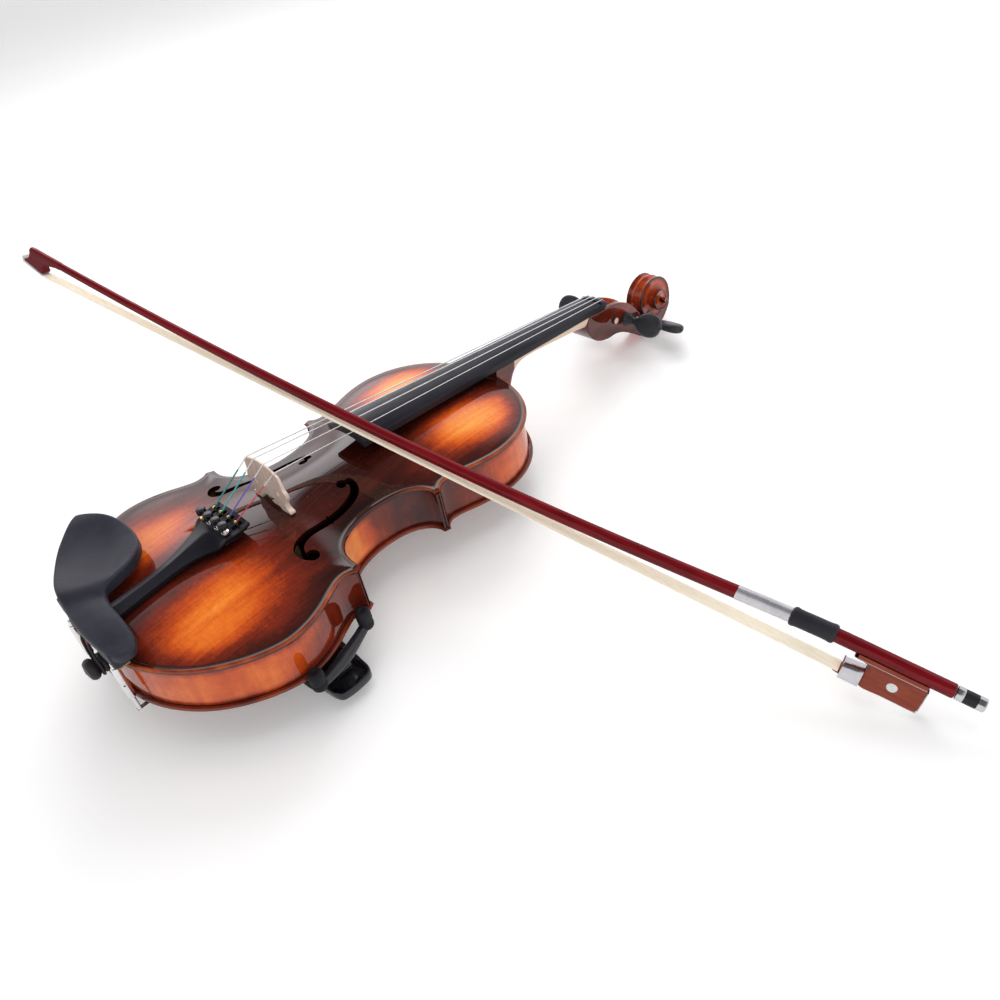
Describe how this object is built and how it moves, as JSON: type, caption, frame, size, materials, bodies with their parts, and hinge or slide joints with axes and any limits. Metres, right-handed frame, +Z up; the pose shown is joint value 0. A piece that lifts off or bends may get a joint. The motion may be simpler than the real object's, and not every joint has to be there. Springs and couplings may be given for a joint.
{
  "type": "violin",
  "caption": "Full-size violin with chin rest, shoulder rest, turning pegs and fine tuners, and its bow laid across the strings.",
  "frame": {"origin": "centre of the flat underside of the shoulder-rest pad, on the floor the instrument lies on", "axes": "+Z up, +Y along the body from the tail to the scroll, +X to the treble (E-string) side"},
  "size_m": [0.712, 0.5961, 0.2127],
  "materials": {
    "varnished_spruce": "high-gloss sunburst varnish on spruce",
    "varnished_maple": "high-gloss sunburst varnish on flamed maple",
    "raw_softwood": "unvarnished",
    "ebonised_wood": "satin, stained black",
    "bridge_maple": "unvarnished, fine pores",
    "black_composite": "satin moulded black",
    "black_gloss_plastic": "glossy moulded black",
    "rubber": "matt",
    "foam": "closed-cell foam, matt",
    "nickel_silver": "polished",
    "string_steel": "fine wound",
    "brass": "machined",
    "bow_wood": "dark red gloss varnish",
    "frog_wood": "polished red-brown",
    "horsehair": "natural strands"
  },
  "bodies": {
    "violin_body": {"top_plate": "varnished_spruce", "back_plate": "varnished_maple", "end_block": "raw_softwood", "neck_block": "raw_softwood", "bass_bar": "raw_softwood", "sound_post": "raw_softwood", "neck_pegbox_scroll": "varnished_maple", "fingerboard": "ebonised_wood", "nut": "ebonised_wood", "saddle": "ebonised_wood", "end_button": "ebonised_wood", "tailgut": "black_composite", "tailpiece": "black_composite", "bridge": "bridge_maple", "chinrest": "black_composite", "shoulder_rest_pad": "foam", "shoulder_rest_plate": "black_gloss_plastic", "rib_lower_treble": "varnished_maple", "rib_waist_treble": "varnished_maple", "rib_upper_treble": "varnished_maple", "corner_block_lower_treble": "raw_softwood", "corner_block_upper_treble": "raw_softwood", "rib_lower_bass": "varnished_maple", "rib_waist_bass": "varnished_maple", "rib_upper_bass": "varnished_maple", "corner_block_lower_bass": "raw_softwood", "corner_block_upper_bass": "raw_softwood", "string_g": "string_steel", "string_d": "string_steel", "string_a": "string_steel", "string_e": "string_steel"},
    "peg_g_body": {"peg_g": "ebonised_wood"},
    "tuner_screw_g_body": {"tuner_screw_g": "nickel_silver"},
    "tuner_lever_g_body": {"tuner_lever_g": "black_composite"},
    "peg_d_body": {"peg_d": "ebonised_wood"},
    "tuner_screw_d_body": {"tuner_screw_d": "nickel_silver"},
    "tuner_lever_d_body": {"tuner_lever_d": "black_composite"},
    "peg_a_body": {"peg_a": "ebonised_wood"},
    "tuner_screw_a_body": {"tuner_screw_a": "nickel_silver"},
    "tuner_lever_a_body": {"tuner_lever_a": "black_composite"},
    "peg_e_body": {"peg_e": "ebonised_wood"},
    "tuner_screw_e_body": {"tuner_screw_e": "nickel_silver"},
    "tuner_lever_e_body": {"tuner_lever_e": "black_composite"},
    "chinrest_barrel_treble_body": {"chinrest_barrel_treble": "nickel_silver"},
    "chinrest_barrel_bass_body": {"chinrest_barrel_bass": "nickel_silver"},
    "chinrest_claw_body": {"chinrest_claw": "nickel_silver"},
    "fork_treble_body": {"shoulder_rest_fork_treble": "rubber"},
    "fork_bass_body": {"shoulder_rest_fork_bass": "rubber"},
    "bow_body": {"bow_stick": "bow_wood", "bow_tip_plate": "nickel_silver", "bow_lapping": "nickel_silver", "bow_grip": "rubber", "bow_hair": "horsehair"},
    "bow_frog_body": {"bow_frog": "frog_wood", "bow_ferrule": "nickel_silver", "bow_eyelet": "brass"},
    "bow_screw_body": {"bow_screw": "nickel_silver"}
  },
  "joints": [
    {"name": "peg_g_turn", "type": "hinge", "parent": "violin_body", "child": "peg_g_body", "pos_m": [0, 0.39516, 0.04149], "axis": [1, 0, 0], "continuous": true},
    {"name": "peg_e_turn", "type": "hinge", "parent": "violin_body", "child": "peg_e_body", "pos_m": [0, 0.40809, 0.03679], "axis": [1, 0, 0], "continuous": true},
    {"name": "peg_d_turn", "type": "hinge", "parent": "violin_body", "child": "peg_d_body", "pos_m": [0, 0.42296, 0.02807], "axis": [1, 0, 0], "continuous": true},
    {"name": "peg_a_turn", "type": "hinge", "parent": "violin_body", "child": "peg_a_body", "pos_m": [0, 0.43733, 0.01985], "axis": [1, 0, 0], "continuous": true},
    {"name": "tuner_screw_g_turn", "type": "hinge", "parent": "violin_body", "child": "tuner_screw_g_body", "pos_m": [-0.0136, -0.0011, 0.09315], "axis": [0, -0.0152, -0.9999], "range_deg": [0, 1440]},
    {"name": "tuner_lever_g_tilt", "type": "hinge", "parent": "violin_body", "child": "tuner_lever_g_body", "pos_m": [-0.0136, 0.00529, 0.08597], "axis": [1, 0, 0], "range_deg": [0, 8.1]},
    {"name": "tuner_screw_d_turn", "type": "hinge", "parent": "violin_body", "child": "tuner_screw_d_body", "pos_m": [-0.0047, -0.0011, 0.09315], "axis": [0, -0.0152, -0.9999], "range_deg": [0, 1440]},
    {"name": "tuner_lever_d_tilt", "type": "hinge", "parent": "violin_body", "child": "tuner_lever_d_body", "pos_m": [-0.0047, 0.00529, 0.08597], "axis": [1, 0, 0], "range_deg": [0, 8.1]},
    {"name": "tuner_screw_a_turn", "type": "hinge", "parent": "violin_body", "child": "tuner_screw_a_body", "pos_m": [0.0047, -0.0011, 0.09315], "axis": [0, -0.0152, -0.9999], "range_deg": [0, 1440]},
    {"name": "tuner_lever_a_tilt", "type": "hinge", "parent": "violin_body", "child": "tuner_lever_a_body", "pos_m": [0.0047, 0.00529, 0.08597], "axis": [1, 0, 0], "range_deg": [0, 8.1]},
    {"name": "tuner_screw_e_turn", "type": "hinge", "parent": "violin_body", "child": "tuner_screw_e_body", "pos_m": [0.0136, -0.0011, 0.09315], "axis": [0, -0.0152, -0.9999], "range_deg": [0, 1440]},
    {"name": "tuner_lever_e_tilt", "type": "hinge", "parent": "violin_body", "child": "tuner_lever_e_body", "pos_m": [0.0136, 0.00529, 0.08597], "axis": [1, 0, 0], "range_deg": [0, 8.1]},
    {"name": "chinrest_barrel_treble_turn", "type": "hinge", "parent": "violin_body", "child": "chinrest_barrel_treble_body", "pos_m": [0.03, -0.10419, 0.05558], "axis": [0, 0.0152, 0.9999], "range_deg": [0, 1444]},
    {"name": "chinrest_barrel_bass_turn", "type": "hinge", "parent": "violin_body", "child": "chinrest_barrel_bass_body", "pos_m": [-0.03, -0.10419, 0.05558], "axis": [0, 0.0152, 0.9999], "range_deg": [0, 1444]},
    {"name": "chinrest_claw_drop", "type": "slide", "parent": "violin_body", "child": "chinrest_claw_body", "axis": [0, -0.0152, -0.9999], "range_m": [0, 0.006]},
    {"name": "fork_treble_swing", "type": "hinge", "parent": "violin_body", "child": "fork_treble_body", "pos_m": [0.103, 0, 0.0182], "axis": [0, 1, 0], "range_deg": [0, 50]},
    {"name": "fork_bass_swing", "type": "hinge", "parent": "violin_body", "child": "fork_bass_body", "pos_m": [-0.103, 0, 0.0182], "axis": [0, -1, 0], "range_deg": [0, 50]},
    {"name": "bow_lift", "type": "slide", "parent": "violin_body", "child": "bow_body", "axis": [0, 0, 1], "range_m": [0, 0.15]},
    {"name": "bow_frog_slide", "type": "slide", "parent": "bow_body", "child": "bow_frog_body", "axis": [0.9439, 0.2054, -0.2586], "range_m": [0, 0.007]},
    {"name": "bow_screw_turn", "type": "hinge", "parent": "bow_body", "child": "bow_screw_body", "pos_m": [0.424, 0.20118, 0.01834], "axis": [-0.9439, -0.2054, 0.2586], "range_deg": [0, 5042]}
  ],
  "couplings": [
    {"joint": "tuner_lever_g_tilt", "follows": "tuner_screw_g_turn", "ratio": 0.0055556},
    {"joint": "tuner_lever_d_tilt", "follows": "tuner_screw_d_turn", "ratio": 0.0055556},
    {"joint": "tuner_lever_a_tilt", "follows": "tuner_screw_a_turn", "ratio": 0.0055556},
    {"joint": "tuner_lever_e_tilt", "follows": "tuner_screw_e_turn", "ratio": 0.0055556},
    {"joint": "chinrest_barrel_treble_turn", "follows": "chinrest_claw_drop", "rad_per_m": 4200},
    {"joint": "chinrest_barrel_bass_turn", "follows": "chinrest_claw_drop", "rad_per_m": 4200},
    {"joint": "bow_screw_turn", "follows": "bow_frog_slide", "rad_per_m": 12570}
  ]
}
